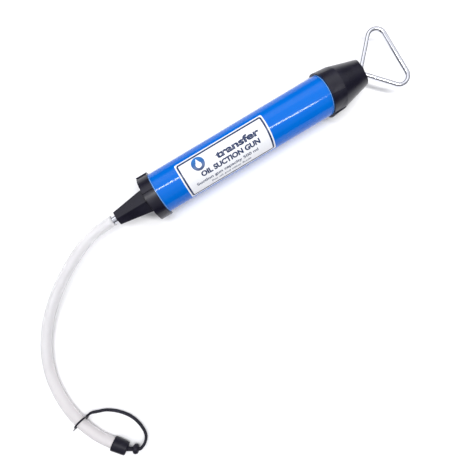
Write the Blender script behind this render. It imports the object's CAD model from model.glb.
import math

import bmesh
import bpy
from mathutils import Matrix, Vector


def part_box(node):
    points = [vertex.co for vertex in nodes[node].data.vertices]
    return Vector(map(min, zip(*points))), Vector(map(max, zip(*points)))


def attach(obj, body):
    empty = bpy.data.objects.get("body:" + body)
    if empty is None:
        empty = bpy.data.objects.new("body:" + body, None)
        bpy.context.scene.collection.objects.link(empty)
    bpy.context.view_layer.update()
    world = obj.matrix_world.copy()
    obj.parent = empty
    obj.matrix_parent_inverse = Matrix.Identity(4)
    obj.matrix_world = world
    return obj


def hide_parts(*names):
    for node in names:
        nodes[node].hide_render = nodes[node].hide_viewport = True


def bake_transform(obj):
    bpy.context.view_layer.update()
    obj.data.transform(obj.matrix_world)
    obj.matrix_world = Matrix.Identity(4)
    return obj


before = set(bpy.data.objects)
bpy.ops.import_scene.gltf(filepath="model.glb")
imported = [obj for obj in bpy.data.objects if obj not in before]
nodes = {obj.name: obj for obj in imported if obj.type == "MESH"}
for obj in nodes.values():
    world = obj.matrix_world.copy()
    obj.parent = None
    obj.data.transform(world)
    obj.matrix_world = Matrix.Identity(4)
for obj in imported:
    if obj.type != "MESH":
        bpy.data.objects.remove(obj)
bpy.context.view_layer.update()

MM = 0.001

# ---- Places taken from the frame, in metres ----
barrel_low, barrel_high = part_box("barrel")
barrel_radius = (barrel_high.z - barrel_low.z) / 2
axis_height = (barrel_high.z + barrel_low.z) / 2
front_cap_mouth_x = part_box("front_cap")[1].x
end_cap_mouth_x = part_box("end_cap")[0].x
nipple_tip_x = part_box("hose_nipple")[0].x
label_low, label_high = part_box("label")

# ---- Camera: straight above the middle of the whole thing, turned so that the gun lies slanting ----
CAMERA_PLACE = (-0.08215, -0.0955, 0.4697)
CAMERA_TURN = math.radians(-30.87)
CAMERA_LENS = 26.16
camera_data = bpy.data.cameras.new("overhead_camera")
camera_data.lens = CAMERA_LENS
camera_data.clip_start = 0.01
camera = bpy.data.objects.new("overhead_camera", camera_data)
camera.location = CAMERA_PLACE
camera.rotation_euler = (0, 0, CAMERA_TURN)
bpy.context.scene.collection.objects.link(camera)
bpy.context.scene.camera = camera
bpy.context.scene.view_settings.view_transform = "Standard"


# ---- Shader maths ----
class Value:
    """A number or a vector in a finish's nodes, that Python's own operators work on."""

    def __init__(self, finish, socket):
        self.finish = finish
        self.socket = socket

    def math(self, operation, *others):
        return self.finish.node("Math", {"operation": operation}, {0: self, **dict(enumerate(others, 1))})

    def __add__(self, other):
        return self.math("ADD", other)

    def __radd__(self, other):
        return self.math("ADD", other)

    def __sub__(self, other):
        return self.math("SUBTRACT", other)

    def __rsub__(self, other):
        return self.finish.node("Math", {"operation": "SUBTRACT"}, {0: other, 1: self})

    def __mul__(self, other):
        return self.math("MULTIPLY", other)

    def __truediv__(self, other):
        return self.math("DIVIDE", other)

    def __abs__(self):
        return self.math("ABSOLUTE")

    def above(self, limit):
        return self.math("GREATER_THAN", limit)

    def below(self, limit):
        return self.math("LESS_THAN", limit)

    def least(self, other):
        return self.math("MINIMUM", other)

    def most(self, other):
        return self.math("MAXIMUM", other)

    def root(self):
        return self.math("SQRT")

    def ease(self, low, high):
        """0 below low and 1 above high, smooth between them."""
        settings = {"interpolation_type": "SMOOTHSTEP"}
        return self.finish.node("MapRange", settings, {"Value": self, "From Min": low, "From Max": high})


class Nodes:
    """A node tree that nodes are added to by node(), each as a Value of one of its outputs."""

    def __init__(self, tree):
        self.tree = tree

    def plug(self, target, value):
        """Links a value to a socket, or writes a plain number or colour into it."""
        if isinstance(value, Value):
            self.tree.links.new(value.socket, target)
        elif isinstance(value, (tuple, list)) and len(value) == 3 and target.type == "RGBA":
            target.default_value = (*value, 1.0)
        else:
            target.default_value = value

    def node(self, kind, settings=None, inputs=None, output=0):
        """Adds one node with its settings first and then its sockets, and gives one of its outputs."""
        made = self.tree.nodes.new("ShaderNode" + kind)
        for name, value in (settings or {}).items():
            setattr(made, name, value)
        for key, value in (inputs or {}).items():
            self.plug(made.inputs[key], value)
        return Value(self, made.outputs[output])

    def noise(self, scale, detail=3.0, roughness=0.5, stretch=None):
        """Smooth noise over the piece's own place, with its pattern drawn out where stretch is below 1."""
        at = self.node("TexCoord", output="Object")
        if stretch:
            at = self.node("Mapping", inputs={"Vector": at, "Scale": stretch})
        inputs = {"Vector": at, "Scale": scale, "Detail": detail, "Roughness": roughness}
        return self.node("TexNoise", inputs=inputs)

    def mix(self, share, first, second):
        """first where share is 0 and second where it is 1, both colours."""
        made = self.tree.nodes.new("ShaderNodeMix")
        made.data_type = "RGBA"
        colours = [s for s in made.inputs if s.type == "RGBA"]
        self.plug(made.inputs[0], share)
        self.plug(colours[0], first)
        self.plug(colours[1], second)
        return Value(self, [s for s in made.outputs if s.type == "RGBA"][0])


class Finish(Nodes):
    """A named material, whose constants go on its shader's own sockets."""

    def __init__(self, name, **constants):
        self.material = bpy.data.materials.new(name)
        self.material.use_nodes = True
        super().__init__(self.material.node_tree)
        self.shader = self.tree.nodes["Principled BSDF"]
        for socket, value in constants.items():
            self.set(socket.replace("_", " ").title(), value)

    def set(self, socket, value):
        """Gives one of the shader's sockets a number, a colour or a value from the nodes."""
        target = {s.name.title(): s for s in self.shader.inputs}[socket.title()]
        self.plug(target, value)

    def place(self):
        """Where a point is, as x, y and z values in metres."""
        point = self.node("TexCoord", output="Object")
        return [self.node("SeparateXYZ", inputs={0: point}, output=axis) for axis in range(3)]

    def lain(self):
        """Where a point is on a piece's own flat pattern, in metres."""
        sheet = self.node("UVMap")
        return [self.node("SeparateXYZ", inputs={0: sheet}, output=axis) for axis in range(2)]

    def bump(self, height, distance, strength=1.0):
        """Raises the surface by height times distance, as far as the light on it goes."""
        inputs = {"Height": height, "Distance": distance, "Strength": strength}
        self.set("Normal", self.node("Bump", inputs=inputs))
        return self


# ---- Finishes ----
ENAMEL_BLUE = (0.0, 0.132, 0.575)
ENAMEL_DEEP = (0.0, 0.102, 0.52)
ENAMEL_LIP = (0.25, 0.52, 1.0)
BARE_STEEL = (0.62, 0.63, 0.66)
BARE_STEEL_DARK = (0.40, 0.41, 0.43)
CAP_BLACK = (0.0045, 0.004, 0.011)
CAP_GREY = (0.011, 0.010, 0.022)
RUBBER_BLACK = (0.010, 0.0095, 0.017)
RUBBER_GREY = (0.026, 0.025, 0.036)
ZINC = (0.69, 0.70, 0.75)
ZINC_DULL = (0.53, 0.54, 0.61)
BRASS = (0.80, 0.58, 0.24)
BRASS_DULL = (0.58, 0.40, 0.16)
NATURAL_PLASTIC = (0.74, 0.73, 0.68)
NATURAL_PLASTIC_AGED = (0.64, 0.62, 0.56)
VINYL_NEAR = (0.98, 0.975, 0.985)
VINYL_FAR = (0.935, 0.905, 0.91)
VINYL_HAZE = (0.915, 0.895, 0.905)
LABEL_WHITE = (0.78, 0.79, 0.82)
LABEL_GREY = (0.78, 0.78, 0.82)
INK_NAVY = (0.006, 0.022, 0.085)
INK_BLUE = (0.01, 0.16, 0.50)
INK_GREY = (0.05, 0.07, 0.13)
FLOOR_PALE = (0.95, 0.95, 0.955)
FLOOR_PALER = (0.965, 0.965, 0.97)
TURNING_RINGS = 9000.0
TUBE_LINES = 6.0
ENAMEL_DEPTH = 0.6 * MM
CAP_OVERLAP = 1.0 * MM
FRONT_LIP, END_LIP = 0.9 * MM, 0.7 * MM


def enamel():
    """Gloss blue enamel outside with a paler lip at each cap, bare steel in the bore and on the threads."""
    made = Finish("blue_enamel", specular_ior_level=0.24)
    x, y, z = made.place()
    away = z - axis_height
    radius = (y * y + away * away).root()
    inside = radius.below(barrel_radius - ENAMEL_DEPTH)
    front = x.below(front_cap_mouth_x - CAP_OVERLAP)
    back = x.above(end_cap_mouth_x + CAP_OVERLAP)
    bare = inside.most(front).most(back)
    cloud = made.noise(26.0, 4.0)
    blue = made.mix(cloud.ease(0.3, 0.7) * 0.35, ENAMEL_BLUE, ENAMEL_DEEP)
    lip = x.below(front_cap_mouth_x + FRONT_LIP).most(x.above(end_cap_mouth_x - END_LIP))
    blue = made.mix(lip * 0.75, blue, ENAMEL_LIP)
    drawn = made.noise(90.0, 4.0, stretch=(0.06, 1.0, 1.0))
    steel = made.mix(drawn.ease(0.35, 0.7), BARE_STEEL, BARE_STEEL_DARK)
    made.set("Base Color", made.mix(bare, blue, steel))
    made.set("Metallic", bare)
    scuffs = made.noise(140.0, 6.0, 0.65, stretch=(0.35, 1.0, 1.0)).ease(0.56, 0.74)
    made.set("Roughness", (made.noise(420.0, 2.0) * 0.04 + 0.09) + scuffs * 0.06 + bare * 0.22)
    return made.bump(made.noise(300.0, 2.0) + drawn * bare * 0.4, 0.02 * MM, 0.35).material


def moulded_plastic():
    """Black moulded plastic with a fine spark-eroded grain and paler rubbed places."""
    made = Finish("black_moulded_plastic", specular_ior_level=0.36)
    rubbed = made.noise(38.0, 5.0, 0.6).ease(0.45, 0.75)
    flow = made.noise(60.0, 3.0, stretch=(0.25, 1.0, 1.0)).ease(0.4, 0.7)
    made.set("Base Color", made.mix(rubbed * 0.6 + flow * 0.3, CAP_BLACK, CAP_GREY))
    grain = made.noise(1900.0, 3.0, 0.6)
    made.set("Roughness", 0.25 + rubbed * 0.08 + grain * 0.06)
    return made.bump(grain + flow * 0.4, 0.05 * MM, 0.5).material


def soft_rubber(name="black_rubber", roughness=0.42):
    """Black rubber: satin, with a little bloom and fine mould marks."""
    made = Finish(name, specular_ior_level=0.16)
    bloom = made.noise(120.0, 5.0, 0.6).ease(0.45, 0.8)
    made.set("Base Color", made.mix(bloom, RUBBER_BLACK, RUBBER_GREY))
    pores = made.noise(2400.0, 2.0)
    made.set("Roughness", roughness + bloom * 0.12)
    return made.bump(pores + bloom * 0.5, 0.04 * MM, 0.5).material


def zinc_plate():
    """Bright zinc plate with a fine grain and duller cloudy patches."""
    made = Finish("bright_zinc_plate", metallic=1.0)
    cloud = made.noise(70.0, 5.0, 0.6).ease(0.42, 0.72)
    made.set("Base Color", made.mix(cloud * 0.5, ZINC, ZINC_DULL))
    grain = made.noise(900.0, 3.0)
    made.set("Roughness", 0.12 + cloud * 0.10 + grain * 0.05)
    return made.bump(grain + cloud * 0.6, 0.02 * MM, 0.4).material


def turned_brass():
    """Brass with the fine rings that turning leaves round its axis."""
    made = Finish("turned_brass", metallic=1.0)
    along = made.place()[0]
    cloud = made.noise(200.0, 4.0).ease(0.4, 0.7)
    made.set("Base Color", made.mix(cloud, BRASS, BRASS_DULL))
    rings = (along * TURNING_RINGS).math("SINE")
    made.set("Roughness", 0.22 + cloud * 0.15)
    return made.bump(rings * 0.5 + cloud, 0.02 * MM, 0.4).material


def piston_plastic():
    """Unpainted hard plastic with cloudy, slightly yellowed places."""
    made = Finish("natural_plastic", specular_ior_level=0.5)
    cloud = made.noise(90.0, 4.0).ease(0.35, 0.7)
    made.set("Base Color", made.mix(cloud, NATURAL_PLASTIC, NATURAL_PLASTIC_AGED))
    made.set("Roughness", 0.42 + cloud * 0.1)
    return made.bump(made.noise(900.0, 2.0), 0.03 * MM, 0.4).material


def clear_vinyl():
    """Clear soft tube, a little milky, warmer towards its far end, with extrusion lines along it."""
    made = Finish("clear_vinyl_tube", transmission_weight=0.50, ior=1.24, specular_ior_level=0.3)
    along, around = made.lain()
    haze = made.noise(55.0, 4.0).ease(0.35, 0.75)
    yellowed = along.ease(0.12, 0.38)
    clear = made.mix(yellowed, VINYL_NEAR, VINYL_FAR)
    made.set("Base Color", made.mix(haze * 0.4, clear, VINYL_HAZE))
    lines = (around * TUBE_LINES * math.pi * 2).math("SINE")
    made.set("Roughness", 0.14 + haze * 0.10)
    return made.bump(lines * 0.3 + haze, 0.02 * MM, 0.3).material


def label_stock(length, height):
    """White gloss film printed with a navy keyline with round corners, and a roundel with a drop in it."""
    made = Finish("printed_label", specular_ior_level=0.35, roughness=0.34)
    along, down = made.lain()
    edge, keyline, corner = 2.9 * MM, 2.2 * MM, 1.8 * MM
    half_long, half_high = length / 2 - edge - corner, height / 2 - edge - corner
    out_along = (abs(along - length / 2) - half_long).most(0.0)
    out_down = (abs(down - height / 2) - half_high).most(0.0)
    beyond = (out_along * out_along + out_down * out_down).root()
    line = 1.0 - abs(beyond - corner).ease(keyline * 0.5, keyline * 0.5 + 0.12 * MM)

    def disc(u, v, radius):
        a, b = along - u, down - v
        return 1.0 - (a * a + b * b).root().ease(radius - 0.1 * MM, radius + 0.1 * MM)

    mark_along, mark_down, mark_radius = 27 * MM, 13.4 * MM, 8.6 * MM
    drop_down, drop_radius, drop_height, drop_slope = 15.0 * MM, 3.7 * MM, 8.2 * MM, 0.45
    ring = disc(mark_along, mark_down, mark_radius)
    hub = disc(mark_along, drop_down, drop_radius)
    rise = drop_down - down
    within = (abs(along - mark_along) + rise * drop_slope).below(drop_radius * 0.98)
    point = within * rise.above(0.0) * rise.below(drop_height)
    drop = hub.most(point)
    shade_start, shade_length = 5 * MM, 17 * MM
    shade = ((down - shade_start) / shade_length).least(1.0).most(0.0)
    roundel = made.mix(shade, INK_BLUE, INK_NAVY)
    paper = made.mix(made.noise(160.0, 4.0).ease(0.4, 0.8) * 0.5, LABEL_WHITE, LABEL_GREY)
    printed = made.mix(line, paper, INK_NAVY)
    printed = made.mix(ring, printed, roundel)
    printed = made.mix(drop, printed, LABEL_WHITE)
    made.set("Base Color", printed)
    return made.bump(made.noise(500.0, 2.0), 0.01 * MM, 0.3).material


def ink(name, colour):
    """Printing ink, worn through to the label's white in small specks."""
    made = Finish(name, specular_ior_level=0.35)
    worn = made.noise(900.0, 4.0).ease(0.55, 0.8)
    made.set("Base Color", made.mix(worn * 0.35, colour, LABEL_WHITE))
    made.set("Roughness", 0.36 + worn * 0.1)
    return made.material


def floor_paper():
    """A matt pale floor, very slightly uneven in tone."""
    made = Finish("pale_floor", roughness=0.85, specular_ior_level=0.2)
    made.set("Base Color", made.mix(made.noise(3.0, 3.0), FLOOR_PALE, FLOOR_PALER))
    return made.material


enamel_finish = enamel()
plastic_finish = moulded_plastic()
rubber_finish = soft_rubber()
seal_finish = soft_rubber("seal_rubber", 0.6)
zinc_finish = zinc_plate()
brass_finish = turned_brass()
piston_finish = piston_plastic()
vinyl_finish = clear_vinyl()

finish_of_node = {
    "front_cap": plastic_finish,
    "end_cap": plastic_finish,
    "barrel": enamel_finish,
    "rod_bush": brass_finish,
    "piston_disc": piston_finish,
    "dust_cap": rubber_finish,
    "tether_ring": rubber_finish,
    "tether_strap": rubber_finish,
}
for name in ("front_gasket", "end_gasket", "nipple_washer", "rod_seal", "front_cup_seal", "rear_cup_seal"):
    finish_of_node[name] = seal_finish
for name in (
    "hose_nipple", "seal_washer", "front_washer", "rear_washer", "lock_washer", "front_nut", "rear_nut",
    "rod_and_handle",
):
    finish_of_node[name] = zinc_finish


def dress(piece, finish):
    """Gives a piece one finish in place of all that it has."""
    piece.data.materials.clear()
    piece.data.materials.append(finish)


for name, finish in finish_of_node.items():
    for slot_of_node in nodes[name].material_slots:
        slot_of_node.material = finish
    if not nodes[name].material_slots:
        nodes[name].data.materials.append(finish)


# ---- Tubes along a cord's own line ----
def cord_line(name, route):
    """The smooth line that a cord's route points control: a NURBS curve, and the points read from it."""
    curve = bpy.data.curves.new(name, "CURVE")
    curve.dimensions = "3D"
    spline = curve.splines.new("NURBS")
    spline.points.add(len(route) - 1)
    for control, place in zip(spline.points, route):
        control.co = (*place, 1.0)
    spline.order_u = 3
    spline.use_endpoint_u = True
    spline.resolution_u = 10
    holder = bpy.data.objects.new(name, curve)
    bpy.context.scene.collection.objects.link(holder)
    bpy.context.view_layer.update()
    line = bpy.data.meshes.new_from_object(holder)
    points = [vertex.co.copy() for vertex in line.vertices]
    bpy.data.objects.remove(holder)
    bpy.data.meshes.remove(line)
    return points


def tube(name, points, radius_at, bore=0.0, sides=32):
    """A closed tube along a line, with a bore when one is given.

    Its pattern runs in metres along it and in turns around it.
    """
    ways = []
    for index in range(len(points)):
        before = points[max(index - 1, 0)]
        after = points[min(index + 1, len(points) - 1)]
        ways.append((after - before).normalized())
    square = ways[0].cross(Vector((0, 0, 1))).normalized()
    travelled = [0.0]
    for before, after in zip(points, points[1:]):
        travelled.append(travelled[-1] + (after - before).length)
    mesh = bmesh.new()
    pattern = mesh.loops.layers.uv.new("UVMap")
    outer, inner = [], []
    for point, way, gone in zip(points, ways, travelled):
        square = (square - way * square.dot(way)).normalized()
        other = way.cross(square)
        turns = [2 * math.pi * side / sides for side in range(sides)]
        spokes = [square * math.cos(turn) + other * math.sin(turn) for turn in turns]
        radius = radius_at(gone / travelled[-1])
        outer.append([mesh.verts.new(point + spoke * radius) for spoke in spokes])
        if bore:
            inner.append([mesh.verts.new(point + spoke * bore) for spoke in spokes])

    def skin(rings, inward):
        for index, (near, far) in enumerate(zip(rings, rings[1:])):
            for side in range(sides):
                after = (side + 1) % sides
                corners = [near[side], near[after], far[after], far[side]]
                place = [(index, side), (index, side + 1), (index + 1, side + 1), (index + 1, side)]
                if inward:
                    corners.reverse()
                    place.reverse()
                face = mesh.faces.new(corners)
                face.smooth = True
                for loop, (ring, turn) in zip(face.loops, place):
                    loop[pattern].uv = (travelled[ring], turn / sides)

    skin(outer, False)
    if bore:
        skin(inner, True)
        for end, flip in ((0, True), (-1, False)):
            for side in range(sides):
                after = (side + 1) % sides
                corners = [outer[end][side], outer[end][after], inner[end][after], inner[end][side]]
                mesh.faces.new(reversed(corners) if flip else corners)
    else:
        mesh.faces.new(reversed(outer[0]))
        mesh.faces.new(outer[-1])
    mesh.normal_update()
    made = bpy.data.meshes.new(name)
    mesh.to_mesh(made)
    mesh.free()
    piece = bpy.data.objects.new(name, made)
    bpy.context.scene.collection.objects.link(piece)
    return piece


# ---- Helpers for new pieces ----
def deselect():
    """Leaves edit mode and lets go of every object."""
    if bpy.context.object and bpy.context.object.mode == "EDIT":
        bpy.ops.object.mode_set(mode="OBJECT")
    bpy.ops.object.select_all(action="DESELECT")


def only(piece):
    """Makes one piece the only selected one and the active one."""
    deselect()
    piece.select_set(True)
    bpy.context.view_layer.objects.active = piece


def modify(piece, kind, **settings):
    """Adds one modifier with its settings and applies it."""
    only(piece)
    modifier = piece.modifiers.new(kind.lower(), kind)
    for name, value in settings.items():
        setattr(modifier, name, value)
    bpy.ops.object.modifier_apply(modifier=modifier.name)


MERGE_DISTANCE = 0.002 * MM
CAP_VOXEL, CAP_SMOOTHING = 0.42 * MM, 14


def copy_of(node, name):
    """A copy of a CAD node's mesh as a piece of its own, with its doubled corners merged."""
    piece = bpy.data.objects.new(name, nodes[node].data.copy())
    bpy.context.scene.collection.objects.link(piece)
    piece.data.materials.clear()
    only(piece)
    bpy.ops.object.mode_set(mode="EDIT")
    bpy.ops.mesh.select_all(action="SELECT")
    bpy.ops.mesh.remove_doubles(threshold=MERGE_DISTANCE)
    bpy.ops.object.mode_set(mode="OBJECT")
    return piece


def soft_dust_cap():
    """The dust cap in one soft moulding: its neck and bead run into each other without a crease."""
    piece = copy_of("dust_cap", "soft_dust_cap")
    modify(piece, "REMESH", mode="VOXEL", voxel_size=CAP_VOXEL, use_smooth_shade=True)
    modify(piece, "SMOOTH", factor=0.5, iterations=CAP_SMOOTHING)
    dress(piece, rubber_finish)
    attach(piece, "dust_cap")
    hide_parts("dust_cap")
    return piece


# ---- Clear hose, its soft dust cap and the strap between them ----
HOSE_RADIUS, HOSE_BORE = 7 * MM, 5.02 * MM
NIPPLE_TAIL_LENGTH = 16 * MM
STRAIGHT_START = 25.2 * MM
CAP_LIFT = 2.2
hose_start_x = nipple_tip_x + NIPPLE_TAIL_LENGTH
# Each bend's place in mm: ahead of the hose's start, aside of it, and its underside's height off the floor.
hose_lie = [
    (56.2, 9.0, 21.0),
    (89.2, 24.0, 15.0),
    (121.2, 43.0, 8.8),
    (150.2, 67.0, 3.8),
    (172.2, 96.0, 1.0),
    (185.2, 128.0, 0.2),
    (189.2, 162.0, 0.6),
    (185.2, 195.0, 2.3),
    (175.2, 226.0, CAP_LIFT),
    (160.7, 249.4, CAP_LIFT),
    (149.7, 264.0, CAP_LIFT),
]
hose_route = [(hose_start_x, 0, axis_height), (hose_start_x - STRAIGHT_START, 0, axis_height)]
for ahead, aside, lift in hose_lie:
    hose_route.append((hose_start_x - ahead * MM, -aside * MM, HOSE_RADIUS + lift * MM))
hose_points = cord_line("hose_line", hose_route)
hose = tube("clear_hose", hose_points, lambda share: HOSE_RADIUS, HOSE_BORE, 48)
dress(hose, vinyl_finish)
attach(hose, "front_cap")
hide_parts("hose")
dust_cap = soft_dust_cap()

STRAP_RADIUS = 2 * MM
ROOT_SHARE, ROOT_STOUTER = 0.06, 0.18
TIP_SHARE, TIP_THINNER = 0.12, 0.32
# The strap's bends in mm, from the bead to the loop: ahead of the hose's start, aside of it, and height.
strap_lie = [
    (133.4, 275.9, 9.2),
    (131.2, 277.2, 9.2),
    (127.3, 275.8, 8.6),
    (123.0, 273.9, 7.6),
    (118.6, 269.4, 6.4),
    (116.4, 263.1, 5.2),
    (116.7, 254.7, 4.2),
    (118.9, 243.8, 3.3),
    (124.4, 231.9, 2.8),
    (134.4, 219.7, 2.9),
    (146.6, 209.3, 4.4),
    (157.5, 204.5, 7.4),
    (163.9, 200.4, 10.1),
    (170.1, 202.3, 9.7),
]
strap_route = []
for ahead, aside, height in strap_lie:
    strap_route.append((hose_start_x - ahead * MM, -aside * MM, height * MM))


def strap_radius_at(share):
    """Thicker where it is moulded to the bead, thinner where it runs into its loop."""
    root = max(0.0, 1 - share / ROOT_SHARE)
    tip = max(0.0, (share - (1 - TIP_SHARE)) / TIP_SHARE)
    return STRAP_RADIUS * (1 + ROOT_STOUTER * root * root - TIP_THINNER * tip * tip)


strap_points = cord_line("strap_line", strap_route)
strap = tube("rubber_strap", strap_points, strap_radius_at, sides=20)
dress(strap, rubber_finish)
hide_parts("tether_strap")
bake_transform(strap)

# ---- The strap's loop: stouter over the hose than under it, with a pointed tail and a small stub ----
RING_LEAN = math.radians(16)
RING_HALF_WIDTH, RING_HALF_HEIGHT = HOSE_RADIUS + 2.9 * MM, HOSE_RADIUS + 1.5 * MM
LOOP_RADIUS, LOOP_STOUTER = 0.95 * MM, 0.42
TAIL_LENGTH = 7.0 * MM
STUB_LENGTH, STUB_DROP = 3.4 * MM, 0.8 * MM
LOOP_VOXEL, LOOP_SMOOTHING = 0.22 * MM, 4


def tether_loop():
    """The loop round the hose, leaning back along it, beside the place where the strap ends."""
    joined = strap_points[-1]
    nearest = min(range(len(hose_points)), key=lambda index: (hose_points[index] - joined).length)
    along = (hose_points[nearest + 1] - hose_points[nearest - 1]).normalized()
    aside = Vector((0, 0, 1)).cross(along).normalized()
    up = along.cross(aside)
    up = up * math.cos(RING_LEAN) - along * math.sin(RING_LEAN)
    middle = joined - aside * (RING_HALF_WIDTH + LOOP_RADIUS)
    deselect()
    bpy.ops.mesh.primitive_torus_add(
        major_radius=RING_HALF_WIDTH, minor_radius=LOOP_RADIUS, major_segments=72, minor_segments=16,
    )
    piece = bpy.context.object
    piece.name = "tether_loop"
    squeeze = (RING_HALF_HEIGHT - RING_HALF_WIDTH) / RING_HALF_WIDTH
    for vertex in piece.data.vertices:
        flat = Vector((vertex.co.x, vertex.co.y, 0))
        core = flat.normalized() * RING_HALF_WIDTH
        stouter = 1 + LOOP_STOUTER * max(0.0, core.y / RING_HALF_WIDTH)
        section = (vertex.co - core) * stouter + core.normalized() * LOOP_RADIUS * (stouter - 1)
        vertex.co = core + Vector((0, core.y * squeeze, 0)) + section
    tail_middle = -(RING_HALF_WIDTH + TAIL_LENGTH / 2)
    bpy.ops.object.mode_set(mode="EDIT")
    bpy.ops.mesh.primitive_cone_add(
        vertices=20, radius1=LOOP_RADIUS * 1.2, radius2=LOOP_RADIUS * 0.45, depth=TAIL_LENGTH,
        location=(tail_middle, 0, 0), rotation=(0, -math.pi / 2, 0),
    )
    bpy.ops.mesh.primitive_cylinder_add(
        vertices=20, radius=LOOP_RADIUS * 1.5, depth=STUB_LENGTH,
        location=(RING_HALF_WIDTH * 0.93, -RING_HALF_HEIGHT * 0.36, -STUB_DROP),
    )
    bpy.ops.object.mode_set(mode="OBJECT")
    for vertex in piece.data.vertices:
        x, y, z = vertex.co
        vertex.co = middle + aside * x + up * y + aside.cross(up) * z
    modify(piece, "REMESH", mode="VOXEL", voxel_size=LOOP_VOXEL, use_smooth_shade=True)
    modify(piece, "SMOOTH", factor=0.5, iterations=LOOP_SMOOTHING)
    dress(piece, rubber_finish)
    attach(piece, "front_cap")
    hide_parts("tether_ring")
    return piece


loop = tether_loop()

# ---- Label: a curved film with rounded corners, and its printing ----
label_length = label_high.x - label_low.x
LABEL_FIRST, LABEL_LAST = math.radians(-30), math.radians(80)
LABEL_LIFT, FILM_THICKNESS = 0.12 * MM, 0.09 * MM
FILM_STRIP, PRINT_STRIP = 1.3 * MM, 0.9 * MM
LETTER_SIZE = 10 * MM
CORNER_RADIUS = 1.6 * MM
INK_LIFT, INK_THICKNESS = 0.02 * MM, 0.03 * MM
label_radius = barrel_radius + LABEL_LIFT
label_height = label_radius * (LABEL_LAST - LABEL_FIRST)


def wrap(piece, lift):
    """Lays a flat piece round the barrel: drawn from the label's corner, with x along it and -y down it."""
    for vertex in piece.data.vertices:
        along, down, up = vertex.co.x, -vertex.co.y, vertex.co.z
        turn = LABEL_FIRST + down / label_radius
        radius = label_radius + lift + up
        vertex.co = (label_low.x + along, -radius * math.sin(turn), axis_height + radius * math.cos(turn))
    piece.data.update()


def cut_across(piece, spacing, height):
    """Cuts a flat piece along lines square to the bend, so that it can follow the barrel."""
    only(piece)
    bpy.ops.object.mode_set(mode="EDIT")
    for line in range(1, int(height / spacing)):
        bpy.ops.mesh.select_all(action="SELECT")
        bpy.ops.mesh.bisect(plane_co=(0, -line * spacing, 0), plane_no=(0, 1, 0))
    bpy.ops.object.mode_set(mode="OBJECT")


def keep_flat_pattern(piece):
    """Writes where each corner is on the flat label, in metres, into the piece's own pattern."""
    pattern = piece.data.uv_layers.get("UVMap") or piece.data.uv_layers.new(name="UVMap")
    for loop in piece.data.loops:
        place = piece.data.vertices[loop.vertex_index].co
        pattern.data[loop.index].uv = (place.x, -place.y)


def label_film():
    """The label's own film, with rounded corners and its pattern in metres."""
    deselect()
    bpy.ops.mesh.primitive_plane_add(size=1, location=(label_length / 2, -label_height / 2, 0))
    piece = bpy.context.object
    piece.name = "label_film"
    piece.scale = (label_length, label_height, 1)
    bpy.ops.object.transform_apply(location=True, rotation=True, scale=True)
    bpy.ops.object.mode_set(mode="EDIT")
    bpy.ops.mesh.select_all(action="SELECT")
    bpy.ops.mesh.bevel(affect="VERTICES", offset=CORNER_RADIUS, segments=5)
    bpy.ops.object.mode_set(mode="OBJECT")
    cut_across(piece, FILM_STRIP, label_height)
    keep_flat_pattern(piece)
    wrap(piece, 0.0)
    modify(piece, "SOLIDIFY", thickness=FILM_THICKNESS, offset=-1)
    dress(piece, label_stock(label_length, label_height))
    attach(piece, "barrel")
    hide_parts("label")


def lettering(name, words, start, end, baseline, capital_height, finish, bold):
    """Plain words printed on the label between two places along it, standing on a baseline."""
    deselect()
    bpy.ops.object.text_add()
    piece = bpy.context.object
    piece.name = name
    piece.data.body = words
    piece.data.size = LETTER_SIZE
    piece.data.offset = bold
    piece.data.resolution_u = 4
    bpy.ops.object.convert(target="MESH")
    piece = bpy.context.object
    low_x = min(vertex.co.x for vertex in piece.data.vertices)
    high_x = max(vertex.co.x for vertex in piece.data.vertices)
    high_y = max(vertex.co.y for vertex in piece.data.vertices)
    for vertex in piece.data.vertices:
        vertex.co.x = start + (vertex.co.x - low_x) * (end - start) / (high_x - low_x)
        vertex.co.y = vertex.co.y * capital_height / high_y - baseline
        vertex.co.z = 0
    cut_across(piece, PRINT_STRIP, label_height)
    wrap(piece, INK_LIFT)
    modify(piece, "SOLIDIFY", thickness=INK_THICKNESS, offset=-1)
    dress(piece, finish)
    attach(piece, "barrel")


navy_ink = ink("navy_ink", INK_NAVY)
grey_ink = ink("grey_ink", INK_GREY)
label_film()
# Each line's name, words, start, end, baseline and capitals' height in mm, its ink and how bold it is in mm.
label_lines = [
    ("label_title", "transfer", 50, 110, 20.4, 8.4, navy_ink, 0.46),
    ("label_use", "OIL SUCTION GUN", 24, 106, 30.0, 6.4, navy_ink, 0.50),
    ("label_capacity", "Suction gun capacity 500 ml", 13, 100, 37.6, 3.8, grey_ink, 0.30),
    ("label_note", "For oil and other fluids", 32, 88, 43.6, 2.6, grey_ink, 0.2),
]
for name, words, start, end, baseline, capital_height, finish, bold in label_lines:
    lettering(name, words, start * MM, end * MM, baseline * MM, capital_height * MM, finish, bold * MM)

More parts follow.
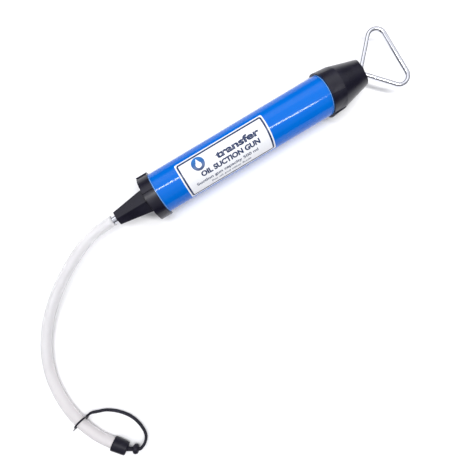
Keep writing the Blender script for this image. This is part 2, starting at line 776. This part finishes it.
# ---- Floor, strip light and a soft sky that is brighter on one side ----
FLOOR_WIDTH, FLOOR_GAP = 4.0, 0.0004
deselect()
bpy.ops.mesh.primitive_plane_add(size=FLOOR_WIDTH, location=(0, 0, -FLOOR_GAP))
floor = bpy.context.object
floor.name = "studio_floor"
dress(floor, floor_paper())

STRIP_START, STRIP_END, STRIP_HEIGHT = Vector((-0.27, 0.17)), Vector((0.52, -0.48)), 1.0
STRIP_WIDTH, STRIP_POWER = 0.06, 8.2
strip_way = STRIP_END - STRIP_START
strip_data = bpy.data.lights.new("strip_light", "AREA")
strip_data.shape = "RECTANGLE"
strip_data.size = strip_way.length
strip_data.size_y = STRIP_WIDTH
strip_data.energy = STRIP_POWER
strip_light = bpy.data.objects.new("strip_light", strip_data)
strip_light.location = (*(STRIP_START + STRIP_END) / 2, STRIP_HEIGHT)
strip_light.rotation_euler = (0, 0, math.atan2(strip_way.y, strip_way.x))
bpy.context.scene.collection.objects.link(strip_light)

SKY_TOP, SKY_BRIGHT_SIDE, SKY_DIM_SIDE, SKY_HORIZON = 0.88, 1.80, 0.50, 0.05
SKY_SEEN = 0.92
SKY_COLOUR = (0.955, 0.96, 1.0)
# Where the sky's brightness starts and stops changing, by the side or upward part of the way into it.
SIDE_TURN, OVERHEAD_TURN, HORIZON_TURN = (-0.35, 0.45), (0.80, 0.90), (0.36, 0.64)
world = bpy.data.worlds.new("studio")
bpy.context.scene.world = world
world.use_nodes = True
sky = Nodes(world.node_tree)
sky_way = sky.node("TexCoord", output="Generated")
sky_y = sky.node("SeparateXYZ", inputs={0: sky_way}, output=1)
sky_z = sky.node("SeparateXYZ", inputs={0: sky_way}, output=2)
side_light = sky_y.ease(*SIDE_TURN) * (SKY_BRIGHT_SIDE - SKY_DIM_SIDE) + SKY_DIM_SIDE
overhead = sky_z.ease(*OVERHEAD_TURN)
level = side_light * (1 - overhead) + overhead * SKY_TOP
risen = sky_z.ease(*HORIZON_TURN)
backdrop = world.node_tree.nodes["Background"]
sky.plug(backdrop.inputs["Color"], SKY_COLOUR)
reflected = (level - SKY_HORIZON) * risen + SKY_HORIZON
seen = sky.node("LightPath", output="Is Camera Ray")
sky.plug(backdrop.inputs["Strength"], reflected * (1 - seen) + seen * SKY_SEEN)
